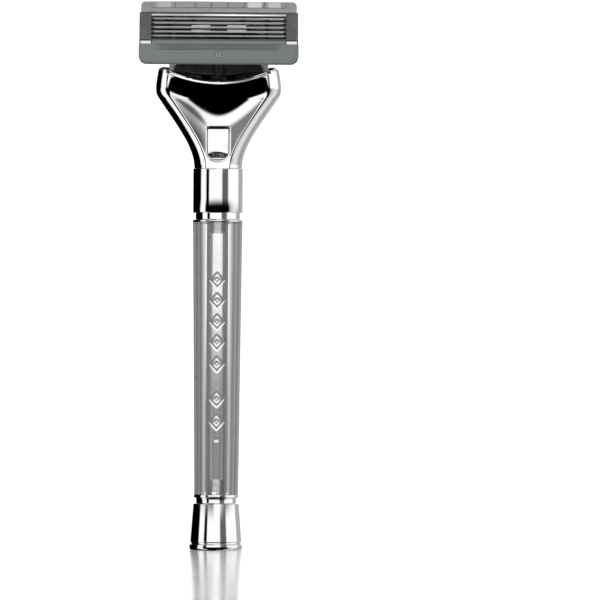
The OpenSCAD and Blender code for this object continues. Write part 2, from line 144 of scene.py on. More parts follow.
def with_modifiers(obj, *set_up):
    """The object with modifiers applied to its mesh. Each entry is (kind, {setting: value})."""
    for kind, settings in set_up:
        modifier = obj.modifiers.new(kind.lower(), kind)
        for key, value in settings.items():
            setattr(modifier, key, value)
    depsgraph = bpy.context.evaluated_depsgraph_get()
    applied = bpy.data.meshes.new_from_object(obj.evaluated_get(depsgraph))
    obj.modifiers.clear()
    old = obj.data
    obj.data = applied
    applied.name = obj.name
    bpy.data.meshes.remove(old)
    return obj


def rounded_edges(obj, width, segments=2, angle=30.0):
    """Bevels the edges that turn more than an angle, and keeps the flats flat."""
    bevel = {
        "width": width * MM,
        "segments": segments,
        "limit_method": "ANGLE",
        "angle_limit": math.radians(angle),
        "harden_normals": True,
        "miter_outer": "MITER_SHARP",
    }
    return with_modifiers(obj, ("BEVEL", bevel))


def rounded(outline, radius, steps=4):
    """Outline with each corner turned into an arc. radius is one value or one for each corner."""
    count = len(outline)
    radii = [radius] * count if isinstance(radius, (int, float)) else radius
    smooth = []
    for i, corner in enumerate(outline):
        here = Vector(corner)
        before = Vector(outline[i - 1]) - here
        after = Vector(outline[(i + 1) % count]) - here
        half = before.angle(after) / 2
        reach = min(radii[i] / math.tan(half), before.length / 2, after.length / 2) if half > 1e-3 else 0
        if reach < 1e-4 or half > math.pi / 2 - 0.01:
            smooth.append(tuple(here))
            continue
        size = reach * math.tan(half)
        middle = here + (before.normalized() + after.normalized()).normalized() * size / math.sin(half)
        start = here + before.normalized() * reach - middle
        end = here + after.normalized() * reach - middle
        turn = start.angle_signed(end)
        for k in range(steps + 1):
            smooth.append(tuple(middle + Matrix.Rotation(-turn * k / steps, 2) @ start))
    return smooth

# %% [markdown]
# Most of the handle is turned, so it is an outline revolved about the axis. A shape that runs straight
# across the razor, or straight through it from front to back, is an outline drawn out between two planes.


# %% Turned and drawn-out shapes
def skin(total, count):
    """Faces over rings of count points each, with a flat end on the first and the last ring."""
    faces = [tuple(range(count)), tuple(range(total - count, total))]
    for start in range(0, total - count, count):
        for i in range(count):
            a, b = start + i, start + (i + 1) % count
            faces.append((a, b, b + count, a + count))
    return faces


def turned(name, outline, segments=160, sharp=35.0):
    """Solid of revolution about Z from a closed [radius, height] outline that may touch the axis."""
    rings = len(outline)
    points = []
    for k in range(segments):
        a = 2 * math.pi * k / segments
        points += [(r * math.cos(a), r * math.sin(a), z) for r, z in outline]
    faces = []
    for k in range(segments):
        for i in range(rings):
            j = (i + 1) % rings
            if outline[i][0] < 1e-6 and outline[j][0] < 1e-6:
                continue
            a, b = k * rings, ((k + 1) % segments) * rings
            faces.append((a + i, b + i, b + j, a + j))
    return piece(name, points, faces, sharp=sharp)


def drawn_out(name, outline, low, high, place, across=True):
    """Prism from an outline: in [depth, height] drawn across in X, or in [x, height] drawn through in Y."""
    order = (lambda u, v, w: (w, u, v)) if across else (lambda u, v, w: (u, w, v))
    points = [order(u, v, w) for w in (low, high) for u, v in outline]
    return piece(name, points, skin(len(points), len(outline)), place)


def across(name, outline, low, high, place):
    return drawn_out(name, outline, low, high, place)


def through(name, outline, low, high, place):
    return drawn_out(name, outline, low, high, place, across=False)


def mirrored_outline(half):
    """Closed outline from its right half, listed from the bottom up."""
    return half + [(-x, z) for x, z in reversed(half)]


def joined(name, objs, sharp=35.0):
    """One object from several, each left as its own closed shell."""
    work = bmesh.new()
    for obj in objs:
        work.from_mesh(obj.data)
        bpy.data.meshes.remove(obj.data)
    mesh = bpy.data.meshes.new(name)
    work.to_mesh(mesh)
    work.free()
    return shown(name, mesh, sharp)


def cut(obj, *tools):
    """obj with each tool taken away from it."""
    for tool in tools:
        with_modifiers(obj, ("BOOLEAN", {"object": tool, "operation": "DIFFERENCE", "solver": "EXACT"}))
        bpy.data.meshes.remove(tool.data)
    return obj


def from_cad(name, node, edge, angle=24.0, segments=2):
    """Copy of a CAD node with its flats made whole and its real edges rounded."""
    work = bmesh.new()
    work.from_mesh(frame["nodes"][node].data)
    bmesh.ops.remove_doubles(work, verts=work.verts, dist=2e-6)
    bmesh.ops.dissolve_limit(work, angle_limit=math.radians(1.5), verts=work.verts, edges=work.edges)
    mesh = bpy.data.meshes.new(name)
    work.to_mesh(mesh)
    work.free()
    return rounded_edges(from_mesh(name, mesh), edge, segments, angle)


def extent(node_name):
    """Half width, lower end and upper end of a CAD node, in millimetres."""
    low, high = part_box(node_name)
    return high.x / MM, low.z / MM, high.z / MM


def triangles(obj):
    return sum(len(p.vertices) - 2 for p in obj.data.polygons)


def fit(obj, body, material, *nodes):
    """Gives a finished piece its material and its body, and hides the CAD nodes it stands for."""
    obj.data.materials.clear()
    obj.data.materials.append(material)
    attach(obj, body)
    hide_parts(*nodes)
    low, high = zip(*[(min(c), max(c)) for c in zip(*[v.co for v in obj.data.vertices])])
    size = [round((b - a) / MM, 2) for a, b in zip(low, high)]
    print(f"{obj.name}: {triangles(obj)} triangles, {size} mm, rides on {body}")
    return obj


# %% [markdown]
# Shader and geometry trees are both written as a list of nodes whose inputs are either constants or the
# outputs of nodes made before them, so each tree reads from its first node to its last.


# %% Helpers for node trees
def node(tree, kind, inputs=None, **settings):
    """New node. Each input is set to a value, or linked when the value is a socket."""
    made = tree.nodes.new(kind)
    for key, value in settings.items():
        setattr(made, key, value)
    for label, value in (inputs or {}).items():
        if isinstance(value, bpy.types.NodeSocket):
            tree.links.new(value, made.inputs[label])
        else:
            made.inputs[label].default_value = value
    return made


def math_node(tree, operation, *values):
    return node(tree, "ShaderNodeMath", dict(enumerate(values)), operation=operation).outputs[0]


def times(tree, a, b):
    return math_node(tree, "MULTIPLY", a, b)


def plus(tree, a, b):
    return math_node(tree, "ADD", a, b)


def minus(tree, a, b):
    return math_node(tree, "SUBTRACT", a, b)


def apart(tree, a, b):
    """Distance between two values."""
    return math_node(tree, "ABSOLUTE", minus(tree, a, b))


def vector_math(tree, operation, a, b):
    return node(tree, "ShaderNodeVectorMath", {0: a, 1: b}, operation=operation).outputs


def own_place(tree):
    """Position on the piece, which stays with it as it moves."""
    return node(tree, "ShaderNodeTexCoord").outputs["Object"]


def noise(tree, where, scale, detail):
    inputs = {"Vector": where, "Scale": scale, "Detail": detail}
    return node(tree, "ShaderNodeTexNoise", inputs).outputs["Fac"]


def finished(tree, geometry, material_used, out):
    """The geometry tree, ended with real geometry in its material."""
    whole = node(tree, "GeometryNodeRealizeInstances", {"Geometry": geometry}).outputs[0]
    painted = node(tree, "GeometryNodeSetMaterial", {"Geometry": whole, "Material": material_used})
    tree.links.new(painted.outputs[0], out["Geometry"])
    return tree


def remap(tree, value, low, high, to_low=0.0, to_high=1.0, smooth=True):
    """Value carried from one range to another, held at both ends."""
    kind = "SMOOTHSTEP" if smooth else "LINEAR"
    inputs = {"Value": value, "From Min": low, "From Max": high, "To Min": to_low, "To Max": to_high}
    return node(tree, "ShaderNodeMapRange", inputs, interpolation_type=kind).outputs["Result"]


def node_group(name, kind, inputs, outputs):
    """Empty node group with named inputs (label, type, default) and outputs (label, type)."""
    tree = bpy.data.node_groups.new(name, kind)
    for label, socket_type, default in inputs:
        socket = tree.interface.new_socket(label, in_out="INPUT", socket_type=socket_type)
        if default is not None:
            socket.default_value = default
    for label, socket_type in outputs:
        tree.interface.new_socket(label, in_out="OUTPUT", socket_type=socket_type)
    return tree, tree.nodes.new("NodeGroupInput").outputs, tree.nodes.new("NodeGroupOutput").inputs


FLOAT, VECTOR, GEOMETRY = "NodeSocketFloat", "NodeSocketVector", "NodeSocketGeometry"

# %% [markdown]
# Five effects are shared between materials. Polished metal is never quite clean: thumbs leave soft smudges
# and cloths leave hairlines. Moulded plastic has a fine spark-eroded grain, turned and drawn metal has lines
# that run one way, edges that get rubbed are a little brighter than the flats, and gaps get a painted shade.


# %% Shared shader groups
def shader_group(name, **inputs):
    """Makes a node group from the function below it, which returns the group's outputs by name."""
    def make(build):
        kinds = {tuple: VECTOR, float: FLOAT}
        sockets = [(label, kinds[type(value)], value) for label, value in inputs.items()]
        tree, given, out = node_group(name, "ShaderNodeTree", sockets, [])
        for label, value in build(tree, given).items():
            tree.interface.new_socket(label, in_out="OUTPUT", socket_type=FLOAT)
            tree.links.new(value, out[label])
        return tree
    return make


@shader_group("Handling marks", Scale=60.0, Amount=1.0)
def handling_marks(tree, given):
    where = own_place(tree)
    film = remap(tree, noise(tree, where, given["Scale"], 4.0), 0.5, 0.72)
    stretch = node(tree, "ShaderNodeMapping", {
        "Vector": where, "Rotation": (0.3, 0.5, 0.2), "Scale": (900.0, 900.0, 60.0),
    })
    hairline = remap(tree, noise(tree, stretch.outputs[0], 1.0, 2.0), 0.66, 0.78)
    marks = times(tree, plus(tree, times(tree, film, 0.7), hairline), given["Amount"])
    return {"Roughness": marks, "Tone": minus(tree, 1.0, times(tree, marks, 0.12))}


@shader_group("Moulded grain", Scale=6000.0, Mottle=0.1)
def moulded_grain(tree, given):
    where = own_place(tree)
    slow = noise(tree, where, 180.0, 3.0)
    tone = plus(tree, times(tree, minus(tree, slow, 0.5), given["Mottle"]), 1.0)
    return {"Height": noise(tree, where, given["Scale"], 3.0), "Tone": tone}


@shader_group("Drawn lines", Stretch=(3000.0, 3000.0, 80.0), Contrast=0.2)
def drawn_lines(tree, given):
    place = node(tree, "ShaderNodeMapping", {"Vector": own_place(tree), "Scale": given["Stretch"]})
    lines = noise(tree, place.outputs[0], 1.0, 4.0)
    return {"Height": lines, "Tone": plus(tree, times(tree, minus(tree, lines, 0.5), given["Contrast"]), 1.0)}


@shader_group("Rubbed edges", Low=0.52, High=0.6, Patches=350.0)
def rubbed_edges(tree, given):
    turn = node(tree, "ShaderNodeNewGeometry").outputs["Pointiness"]
    broken = remap(tree, noise(tree, own_place(tree), given["Patches"], 3.0), 0.35, 0.6)
    return {"Mask": times(tree, remap(tree, turn, given["Low"], given["High"]), broken)}


@shader_group("Recess shade", Reach=0.0015, Depth=0.8)
def recess_shade(tree, given):
    """Painted shade: 1 in the open, less in gaps, where shadow gathers."""
    open_share = node(tree, "ShaderNodeAmbientOcclusion", {"Distance": given["Reach"]}, samples=8)
    shut = minus(tree, 1.0, remap(tree, open_share.outputs["AO"], 0.25, 0.85))
    return {"Tone": minus(tree, 1.0, times(tree, shut, given["Depth"]))}

# %% [markdown]
# Each material starts from the Principled shader and takes its variation from the shared groups: the chrome
# is polished plating, the grip is cast acrylic, the studs and blades are steel worked in one direction, and
# the cartridge is moulded in a grey plastic with a softer, slightly green guard.


# %% Materials
def material(name, colour, roughness, metallic=0.0, **more):
    """Principled material. Returns it with its tree and shader, ready for finer detail."""
    made = bpy.data.materials.new(name)
    made.use_nodes = True
    shader = made.node_tree.nodes["Principled BSDF"]
    shader.inputs["Base Color"].default_value = (*colour, 1.0)
    shader.inputs["Roughness"].default_value = roughness
    shader.inputs["Metallic"].default_value = metallic
    for label, value in more.items():
        shader.inputs[label.replace("_", " ")].default_value = value
    return made, made.node_tree, shader


def use_group(tree, group, inputs):
    made = node(tree, "ShaderNodeGroup", node_tree=group)
    for label, value in inputs.items():
        made.inputs[label].default_value = value
    return made.outputs


def detailed(tree, shader, colour, tone, rough=None, height=None, distance=0.0):
    """Feeds the shader a colour times a tone, and where they are given a roughness and a fine relief."""
    tree.links.new(vector_math(tree, "MULTIPLY", colour, tone)[0], shader.inputs["Base Color"])
    if rough:
        tree.links.new(rough, shader.inputs["Roughness"])
    if height:
        bump = node(tree, "ShaderNodeBump", {"Height": height, "Distance": distance})
        tree.links.new(bump.outputs[0], shader.inputs["Normal"])


def polished_metal(name, colour, roughness, amount):
    made, tree, shader = material(name, colour, roughness, metallic=1.0)
    marks = use_group(tree, handling_marks, {"Scale": 70.0, "Amount": amount})
    rough = plus(tree, times(tree, marks["Roughness"], 0.09), roughness)
    detailed(tree, shader, colour, marks["Tone"], rough)
    return made


def painted_depth_shade(tree):
    """Painted shade: 1 near the face of the cartridge, nearly black from a little way behind it, where the
    gaps lie in shadow.
    """
    where = own_place(tree)
    inward = IN_FACE.to_3x3() @ Vector((0, 1, 0))
    away = vector_math(tree, "DOT_PRODUCT", where, tuple(inward))["Value"]
    start = inward.dot(IN_FACE.translation) * MM
    return remap(tree, away, start + 1.15 * MM, start + 1.5 * MM, 1.0, 0.02)


def worked_metal(name, colour, roughness, stretch, contrast, depth, painted_shade_behind=False, metallic=1.0):
    """Metal with the lines of its making. A metallic below 1 lets a ground face scatter some light."""
    made, tree, shader = material(name, colour, roughness, metallic=metallic)
    lines = use_group(tree, drawn_lines, {"Stretch": stretch, "Contrast": contrast})
    tone = lines["Tone"]
    # Painted shade: behind the face of the cartridge the metal is darkened, where it lies in shadow
    if painted_shade_behind:
        tone = times(tree, tone, painted_depth_shade(tree))
    rough = remap(tree, lines["Height"], 0.3, 0.7, roughness * 0.8, roughness * 1.3, smooth=False)
    detailed(tree, shader, colour, tone, rough, lines["Height"], depth)
    return made


RING_AT = 2.35


def painted_ring_light_and_shade(tree):
    """Painted highlight and shade of the small ring moulded in the middle of the guard: a pale line on the
    ring, with a dark line of painted shade round it.
    """
    where = own_place(tree)
    middle = (IN_FACE @ Vector((0, 0, RING_AT))) * MM
    radius = vector_math(tree, "DISTANCE", where, tuple(middle))["Value"]
    pale, dark = (
        remap(tree, apart(tree, radius, line * MM), 0.16 * MM, 0.05 * MM, 0.0, level)
        for line, level in ((0.56, 0.75), (0.84, -0.5))
    )
    return plus(tree, pale, dark)


def moulded(name, colour, roughness, mottle, depth, wear=0.0, scale=6000.0, mark=None, **more):
    """Plastic or rubber with a fine grain, a slow change of tone, lighter rubbed edges and painted shade in
    its gaps.
    """
    made, tree, shader = material(name, colour, roughness, **more)
    grain = use_group(tree, moulded_grain, {"Scale": scale, "Mottle": mottle})
    worn = use_group(tree, rubbed_edges, {})["Mask"]
    tone = plus(tree, grain["Tone"], times(tree, worn, wear))
    # The mark adds a painted highlight and a painted shade
    if mark:
        tone = plus(tree, tone, mark(tree))
    # Painted shade: the colour is darkened in gaps, by ambient occlusion
    shade = use_group(tree, recess_shade, {"Reach": 0.0012, "Depth": 0.6})["Tone"]
    rough = remap(tree, grain["Height"], 0.35, 0.65, roughness * 0.92, roughness * 1.1, smooth=False)
    detailed(tree, shader, colour, times(tree, tone, shade), rough, grain["Height"], depth)
    return made


def cast_acrylic():
    """Clear cast plastic, a little hazy, with faint lines drawn along it by the mould."""
    colour, roughness = (0.9, 0.905, 0.905), 0.05
    made, tree, shader = material("Clear acrylic", colour, roughness, Transmission_Weight=1.0, IOR=1.49)
    marks = use_group(tree, handling_marks, {"Scale": 45.0, "Amount": 1.0})
    lines = use_group(tree, drawn_lines, {"Stretch": (900, 900, 12), "Contrast": 0.1})
    rough = plus(tree, times(tree, marks["Roughness"], 0.05), roughness)
    detailed(tree, shader, colour, lines["Tone"], rough, lines["Height"], 2.5e-5)
    return made


GROOVES = (-11.7, -6.45, -2.2, 2.2, 6.45, 11.7)
GROOVE_LEAN = 0.12
STRIP_FOOT = 14.95


def strip_gel():
    """Smooth strip with three paler panels and a dark line of painted shade along each groove that parts it.
    """
    colour = (0.185, 0.186, 0.187)
    made, tree, shader = material("Strip gel", colour, 0.32, Coat_Weight=0.3, Coat_Roughness=0.2)
    grain = use_group(tree, moulded_grain, {"Scale": 2500.0, "Mottle": 0.25})
    where = own_place(tree)
    x = node(tree, "ShaderNodeSeparateXYZ", {"Vector": where}).outputs["X"]
    lift = 0.0
    for middle, half, level in ((-0.0145, 0.0021, 0.45), (0.0094, 0.0021, 1.1), (0.0146, 0.0019, 0.8)):
        away = apart(tree, x, middle)
        lift = plus(tree, lift, remap(tree, away, half, half * 0.72, 0.0, level))

    # The grooves lean a little, so the line each one follows moves sideways with height up the face
    upward = IN_FACE.to_3x3() @ Vector((0, 0, 1))
    height = vector_math(tree, "DOT_PRODUCT", where, tuple(upward))["Value"]
    foot_of_lean = upward.dot(IN_FACE @ Vector((0, 0, STRIP_FOOT))) * MM
    climbed = minus(tree, height, foot_of_lean)
    straight = minus(tree, x, times(tree, climbed, GROOVE_LEAN))
    # Painted shade: a dark line along each groove, where it lies in shadow
    for groove_x in GROOVES:
        away = apart(tree, straight, groove_x * MM)
        lift = plus(tree, lift, remap(tree, away, 0.2 * MM, 0.08 * MM, 0.0, -0.6))
    detailed(tree, shader, colour, plus(tree, grain["Tone"], lift), None, grain["Height"], 2e-5)
    return made


chrome = polished_metal("Polished chrome", (0.84, 0.84, 0.85), 0.035, 0.8)
bright_clip = polished_metal("Bright clip metal", (0.7, 0.7, 0.7), 0.16, 1.0)
acrylic = cast_acrylic()
turned_steel = worked_metal("Turned steel", (0.66, 0.66, 0.66), 0.12, (300, 300, 9000), 0.2, 1.5e-6)
spring_wire = worked_metal("Drawn spring wire", (0.55, 0.55, 0.56), 0.3, (2500, 2500, 2500), 0.2, 2e-6)
blade_steel = worked_metal(
    "Ground blade steel", (0.94, 0.95, 0.96), 0.26, (150, 9000, 9000), 0.2, 1.5e-6, metallic=0.81)
support_steel = worked_metal(
    "Stamped steel", (0.8, 0.805, 0.81), 0.3, (1800, 1800, 1800), 0.2, 2e-6, painted_shade_behind=True)
black_plastic = moulded("Black plastic", (0.012, 0.012, 0.013), 0.3, 0.3, 1.2e-5, wear=0.8)
grey_plastic = moulded("Grey plastic", (0.05, 0.051, 0.052), 0.42, 0.12, 1.0e-5, wear=0.35)
cap_plastic = moulded("Grey cap plastic", (0.168, 0.174, 0.177), 0.4, 0.12, 1.0e-5, wear=0.3)
guard_rubber = moulded(
    "Guard rubber", (0.106, 0.117, 0.118), 0.5, 0.1, 2.0e-5, wear=0.5, scale=4000.0, mark=painted_ring_light_and_shade)
gel = strip_gel()
print("materials", [m.name for m in bpy.data.materials])

# %% [markdown]
# The razor stands on a pale floor in a white room. Chrome shows only what surrounds it, so the room is drawn
# as a studio is set: white cards with black flags between them, placed by direction round the razor. The
# camera itself sees plain white, and matt surfaces are lit by a soft even white and one large lamp.

# %% Camera, floor and room
CAMERA_AT = (0.0218, -3.0, 0.066)
scene = bpy.context.scene
scene.view_settings.view_transform = "Standard"

lens = bpy.data.cameras.new("Camera")
lens.lens = 683
lens.sensor_width = 36
camera = bpy.data.objects.new("Camera", lens)
camera.location = CAMERA_AT
camera.rotation_euler = (math.radians(90), math.radians(-0.35), 0)
scene.collection.objects.link(camera)
scene.camera = camera


def white_floor():
    """Matt white with a soft mirror that only shows at a low angle, as a polished table does."""
    made, tree, shader = material("White floor", (0.93, 0.93, 0.93), 0.6)
    shader.inputs["Specular IOR Level"].default_value = 0.0
    where = own_place(tree)
    dust = noise(tree, where, 25.0, 3.0)
    rough = remap(tree, dust, 0.3, 0.7, 0.11, 0.15)
    mirror = node(tree, "ShaderNodeBsdfGlossy", {"Color": (1, 1, 1, 1), "Roughness": rough})
    low_angle = node(tree, "ShaderNodeLayerWeight", {"Blend": 0.5}).outputs["Facing"]
    share = remap(tree, low_angle, 0.8, 0.96, 0.12, 0.8)
    mix = node(tree, "ShaderNodeMixShader", {0: share, 1: shader.outputs[0], 2: mirror.outputs[0]})
    tree.links.new(mix.outputs[0], tree.nodes["Material Output"].inputs["Surface"])
    return made


bpy.ops.mesh.primitive_plane_add(size=8, location=(0, 0, cad_box[0].z - 0.02 * MM))
floor = bpy.context.object
floor.name = "Floor"
floor.data.materials.append(white_floor())
floor.visible_glossy = False
floor.visible_transmission = False
floor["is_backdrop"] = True


def lamp(name, location, size, power, target=(0, 0, 0.07)):
    """Square area lamp that chrome doesn't mirror."""
    data = bpy.data.lights.new(name, "AREA")
    data.size = size
    data.energy = power
    made = bpy.data.objects.new(name, data)
    made.location = location
    made.rotation_euler = (Vector(target) - Vector(location)).to_track_quat("-Z", "Y").to_euler()
    made.visible_glossy = False
    scene.collection.objects.link(made)
    made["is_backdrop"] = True


lamp("Key lamp", (-0.35, -0.5, 0.75), 0.5, 4.0)


def ramp(tree, value, stops, interpolation="LINEAR"):
    """Grey level between (position, level) stops."""
    made = node(tree, "ShaderNodeValToRGB", {"Fac": value})
    made.color_ramp.interpolation = interpolation
    elements = made.color_ramp.elements
    for element, (position, level) in zip(elements, (stops[0], stops[-1])):
        element.position = position
        element.color = (level, level, level, 1)
    for position, level in stops[1:-1]:
        elements.new(position).color = (level, level, level, 1)
    return made.outputs["Color"]


def bands(edges, soft=2.5):
    """Ramp stops over -180 to 180 degrees from (end, level) bands, each edge softened by some degrees."""
    stops = [(0.0, edges[0][1])]
    for (end, level), (_, after) in zip(edges, edges[1:]):
        stops += [((end - soft + 180) / 360, level), ((end + soft + 180) / 360, after)]
    return stops + [(1.0, edges[-1][1])]


# Cards and flags round the razor, as (end of band in degrees, level). 0 faces the camera, 90 is to its right
AROUND = [
    (-165, 1.0), (-84, 0.0), (-56, 1.0), (-41, 0.0), (20, 1.0), (49, 0.12), (110, 1.0), (168, 0.4), (180, 1.0)
]
# Softer levels above and below them, as (degrees, level)
UPPER = [
    (-180, 1.0), (-168, 1.0), (-160, 0.02), (-95, 0.02), (-80, 0.6), (-62, 0.5), (-50, 0.2), (-18, 0.22),
    (-4, 1.0), (18, 1.0), (34, 0.35), (52, 0.08), (75, 0.4), (110, 0.5), (150, 0.5), (168, 1.0), (180, 1.0)
]
LOWER = [
    (-180, 0.0), (-92, 0.0), (-86, 1.0), (-64, 1.0), (-58, 0.0), (52, 0.0), (62, 0.5), (85, 0.8), (115, 0.3),
    (150, 0.45), (180, 0.4)
]
# What shows through the grip, by how far it turns away from straight behind
THROUGH = [
    (0, 1.25), (17, 1.25), (24, 0.5), (30, 0.13), (38, 0.25), (48, 0.1), (58, 0.27), (75, 0.1), (100, 0.25),
    (125, 0.3), (150, 1.0), (180, 1.0)
]


CARD_LIGHT = 1.2
GRIP_LIGHT = 0.97
PLAIN_LIGHT = 1.25


def spread(stops, low=-180, high=180):
    return [((at - low) / (high - low), level) for at, level in stops]


def studio_room():
    world = bpy.data.worlds.new("Studio room")
    world.use_nodes = True
    tree = world.node_tree
    direction = node(tree, "ShaderNodeTexCoord").outputs["Generated"]
    xyz = node(tree, "ShaderNodeSeparateXYZ", {"Vector": direction}).outputs
    azimuth = math_node(tree, "ARCTAN2", xyz["X"], times(tree, xyz["Y"], -1.0))
    turn = remap(tree, azimuth, -math.pi, math.pi, smooth=False)
    elevation = times(tree, math_node(tree, "ARCSINE", xyz["Z"]), 180 / math.pi)

    def blended(share, low, high):
        mix = node(tree, "ShaderNodeMix", {"Factor": share}, data_type="FLOAT")
        tree.links.new(low, mix.inputs[2])
        tree.links.new(high, mix.inputs[3])
        return mix.outputs[0]

    level = ramp(tree, turn, bands(AROUND))
    level = blended(remap(tree, elevation, 7, 16), level, ramp(tree, turn, spread(UPPER)))
    level = blended(remap(tree, elevation, -2, -6), level, ramp(tree, turn, spread(LOWER)))
    level = times(tree, level, remap(tree, elevation, -70, -62))
    level = times(tree, level, remap(tree, elevation, 74, 64, 0.03, 1.0))
    cards = node(tree, "ShaderNodeBackground", {"Color": level, "Strength": CARD_LIGHT})

    # Through the grip: the white behind, grey to its sides, dimmer below the edge of the table
    behind = minus(tree, math.pi, math_node(tree, "ABSOLUTE", azimuth))
    side = ramp(tree, remap(tree, behind, 0, math.pi, smooth=False), spread(THROUGH, 0, 180))
    table = remap(tree, elevation, 0.2, 0.55, 0.14, 1.0)
    white = remap(tree, behind, math.radians(26), math.radians(16))
    seen = times(tree, side, blended(white, remap(tree, elevation, -1, 1, 0.9, 1.1), table))
    glass = node(tree, "ShaderNodeBackground", {"Color": seen, "Strength": GRIP_LIGHT})

    plain = node(tree, "ShaderNodeBackground", {"Color": (1, 1, 1, 1), "Strength": PLAIN_LIGHT})
    path = node(tree, "ShaderNodeLightPath").outputs
    first = node(tree, "ShaderNodeMixShader", {
        0: path["Is Transmission Ray"], 1: cards.outputs[0], 2: glass.outputs[0],
    })
    unseen = math_node(tree, "MAXIMUM", path["Is Camera Ray"], path["Is Diffuse Ray"])
    mix = node(tree, "ShaderNodeMixShader", {0: unseen, 1: first.outputs[0], 2: plain.outputs[0]})
    tree.links.new(mix.outputs[0], tree.nodes["World Output"].inputs["Surface"])
    return world


scene.world = studio_room()
print("camera at", CAMERA_AT, "lens", lens.lens)

# %% [markdown]
# The foot is a turned weight: a rounded rim, a fine groove, a plain cone, a deep waist and a thin flange that
# the grip stands on. Its outline is the CAD's, with every corner eased as polishing would leave it.

# %% Foot
foot_r, _, foot_top = extent("foot_weight")
rim_top = 1.5
cone_top = 12.3
flange_r = foot_r - 1.13
foot_outline = rounded(
    [
        (0, 0), (foot_r, 0), (foot_r, rim_top), (foot_r - 0.5, rim_top), (foot_r - 0.5, rim_top + 0.55),
        (foot_r - 0.22, rim_top + 0.6), (foot_r - 1.0, cone_top), (foot_r - 1.7, cone_top),
        (foot_r - 1.7, foot_top - 0.8), (flange_r, foot_top - 0.8), (flange_r, foot_top), (2.0, foot_top),
        (2.0, 5.5), (0, 5.5),
    ],
    [0, 0.6, 0.15, 0.1, 0.05, 0.12, 0.3, 0.12, 0.12, 0.14, 0.14, 0.1, 0, 0],
    steps=6,
)
foot = turned("turned-foot", foot_outline, segments=192, sharp=50)
fit(foot, "handle", chrome, "foot_weight")

# %% [markdown]
# Each stud is a rod with a rolled thread. The thread is one ridge wound along a helix, so it is a Geometry
# Nodes tree: a spiral carries a small triangle for the ridge, and a plain core fills the middle.


# %% Wound shapes
def wound_tree(name, material_used, with_core):
    """Helix of a round or three-sided section along Z, with an optional core through it."""
    inputs = [
        ("Radius", FLOAT, 0.001), ("Length", FLOAT, 0.01), ("Turns", FLOAT, 6.0), ("Section", FLOAT, 0.0002),
        ("Lift", FLOAT, 0.0),
    ]
    tree, given, out = node_group(name, "GeometryNodeTree", inputs, [("Geometry", GEOMETRY)])
    spiral = node(tree, "GeometryNodeCurveSpiral", {
        "Resolution": 32, "Rotations": given["Turns"], "Start Radius": given["Radius"],
        "End Radius": given["Radius"], "Height": given["Length"],
    }).outputs["Curve"]
    ring = node(tree, "GeometryNodeCurvePrimitiveCircle", {
        "Resolution": 3 if with_core else 12, "Radius": given["Section"],
    }).outputs["Curve"]
    wire = node(tree, "GeometryNodeCurveToMesh", {"Curve": spiral, "Profile Curve": ring, "Fill Caps": True})
    parts = node(tree, "GeometryNodeJoinGeometry")
    if with_core:
        core = node(tree, "GeometryNodeMeshCylinder", {
            "Vertices": 48, "Radius": given["Radius"], "Depth": given["Length"],
        }).outputs["Mesh"]
        half = times(tree, given["Length"], 0.5)
        raised = node(tree, "ShaderNodeCombineXYZ", {"Z": half}).outputs[0]
        centred = node(tree, "GeometryNodeTransform", {"Geometry": core, "Translation": raised})
        tree.links.new(centred.outputs[0], parts.inputs[0])
    tree.links.new(wire.outputs["Mesh"], parts.inputs[0])
    lift = node(tree, "ShaderNodeCombineXYZ", {"Z": given["Lift"]}).outputs[0]
    moved = node(tree, "GeometryNodeTransform", {"Geometry": parts.outputs[0], "Translation": lift})
    return finished(tree, moved.outputs[0], material_used, out)


def grown(name, tree, values, base=None, place=UPRIGHT, sharp=35.0):
    """Plain mesh from a Geometry Nodes tree, with its named inputs given in the tree's own units."""
    host = base or bpy.data.objects.new(name, bpy.data.meshes.new(name))
    if base is None:
        scene.collection.objects.link(host)
    modifier = host.modifiers.new(tree.name, "NODES")
    modifier.node_group = tree
    for item in tree.interface.items_tree:
        if item.in_out == "INPUT" and item.name in values:
            modifier[item.identifier] = values[item.name]
    host.update_tag()
    depsgraph = bpy.context.evaluated_depsgraph_get()
    mesh = bpy.data.meshes.new_from_object(host.evaluated_get(depsgraph))
    bpy.data.objects.remove(host)
    turn = place.to_3x3().to_4x4()
    mesh.transform(Matrix.Translation(place.translation * MM) @ turn)
    return from_mesh(name, mesh, sharp)


thread_tree = wound_tree("Rolled thread", turned_steel, with_core=True)
for stud_name in ("lower_stud", "upper_stud"):
    low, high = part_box(stud_name)
    section = 0.07 * MM
    stud = grown("threaded-" + stud_name, thread_tree, {
        "Radius": high.x - section,
        "Length": high.z - low.z - 2 * section,
        "Turns": (high.z - low.z) / (0.5 * MM),
        "Section": section,
        "Lift": low.z + section,
    })
    fit(stud, "handle", turned_steel, stud_name)

# %% [markdown]
# The grip is a tapered acrylic tube. Down its front run seven hollow lozenges and a dot, moulded as low
# rounded ridges. The tube's front is meshed finely, and a Geometry Nodes tree raises every point that lies
# near a lozenge's outline, so the ridges follow the taper and stay part of one clear solid.

# %% Grip
MARKS = [33.7, 39.7, 48.9, 54.6, 60.0, 65.6, 71.0]
DOT = 29.1
MARK_W = 3.4
MARK_H = 3.7
_, *grip_z = extent("grip")
GRIP_R = (5.8, 6.55)
BORE_R = 1.98


def grip_radius(z):
    share = (z - grip_z[0]) / (grip_z[1] - grip_z[0])
    return GRIP_R[0] + (GRIP_R[1] - GRIP_R[0]) * share


